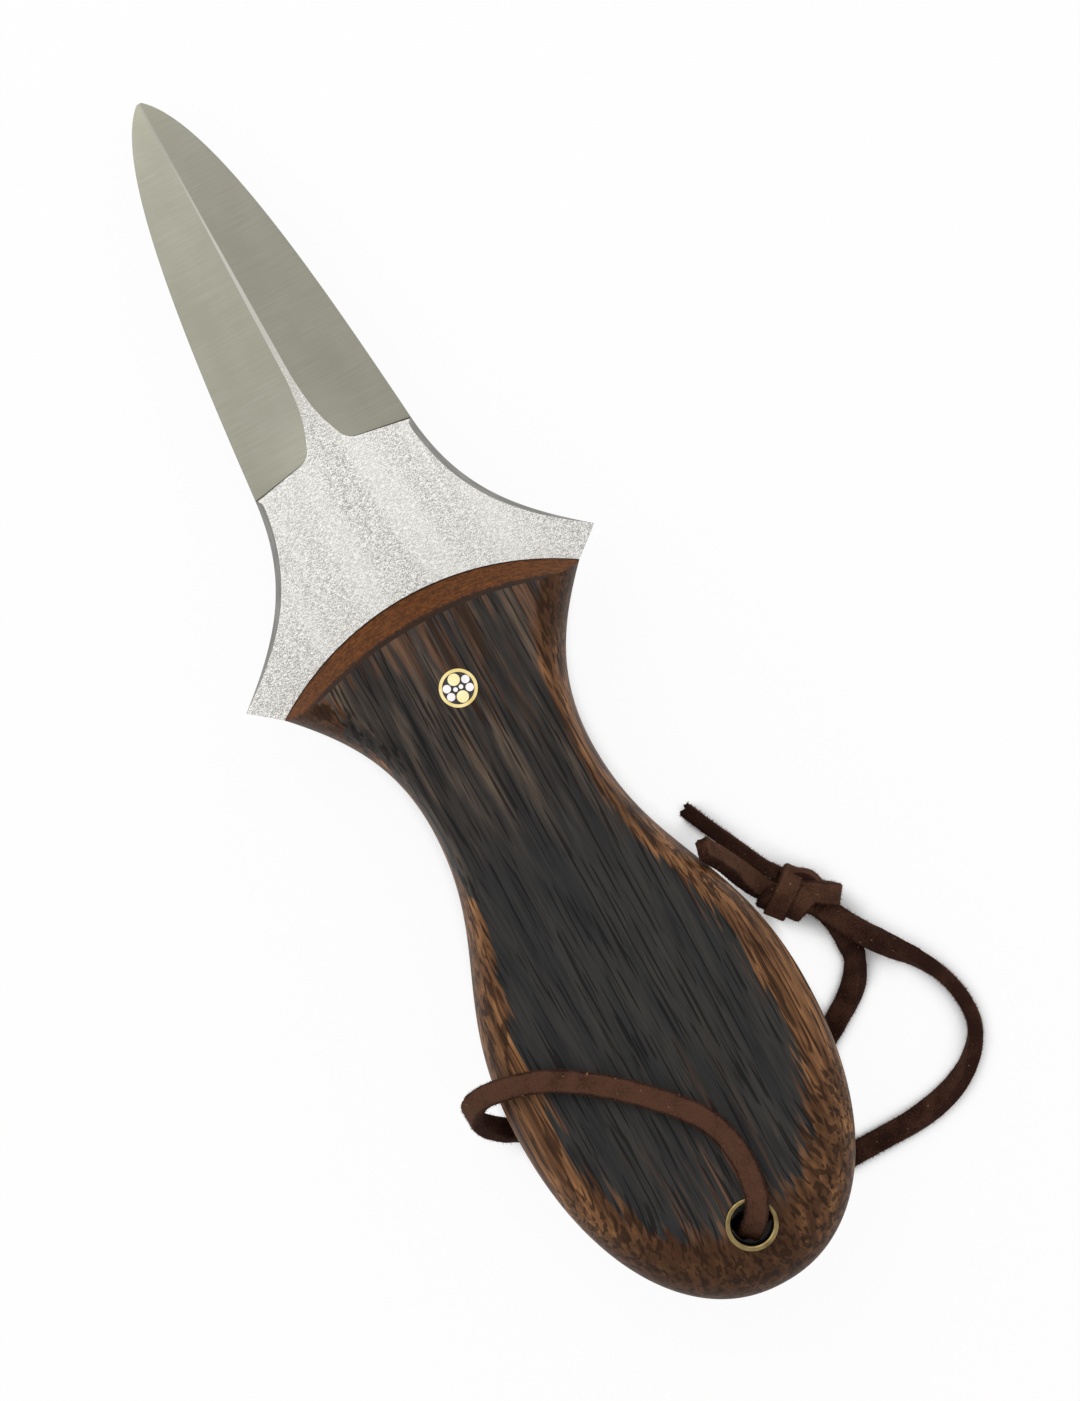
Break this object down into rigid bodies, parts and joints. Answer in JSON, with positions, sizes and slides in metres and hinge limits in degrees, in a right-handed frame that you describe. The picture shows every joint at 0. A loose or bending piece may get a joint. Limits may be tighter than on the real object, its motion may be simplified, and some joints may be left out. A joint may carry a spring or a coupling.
{
  "type": "oyster knife",
  "caption": "Oyster knife with a double-edged ground blade, flared steel guard, rounded dark wood scales, a mosaic pin and a suede lanyard through a brass tube.",
  "frame": {"origin": "middle of the knife without its lace: halfway from tip to butt, on the middle plane of the steel", "axes": "+X from the butt to the tip, +Y across the knife, +Z through its thickness towards the front scale"},
  "size_m": [0.164, 0.0613, 0.0231],
  "materials": {
    "ground_steel": "satin, brushed guard and belt-ground bevels",
    "wenge": "oiled dark open-grained wood",
    "brass": "polished",
    "nickel_silver": "polished nickel silver",
    "black_resin": "cast and polished flush",
    "suede": "split suede, napped on both faces"
  },
  "bodies": {
    "root": {"blade_and_tang": "ground_steel", "front_scale": "wenge", "back_scale": "wenge", "pin_tube": "brass", "pin_resin": "black_resin", "pin_brass_rod_front": "brass", "pin_brass_rod_rear": "brass", "pin_silver_rod_1": "nickel_silver", "pin_silver_rod_2": "nickel_silver", "pin_silver_rod_3": "nickel_silver", "pin_silver_rod_4": "nickel_silver", "pin_fine_rod_left": "nickel_silver", "pin_fine_rod_right": "nickel_silver", "lanyard_tube": "brass", "lace_front_run": "suede", "lace_back_run": "suede", "lace_knot": "suede", "lace_tail_upper": "suede", "lace_tail_lower": "suede"}
  },
  "joints": []
}
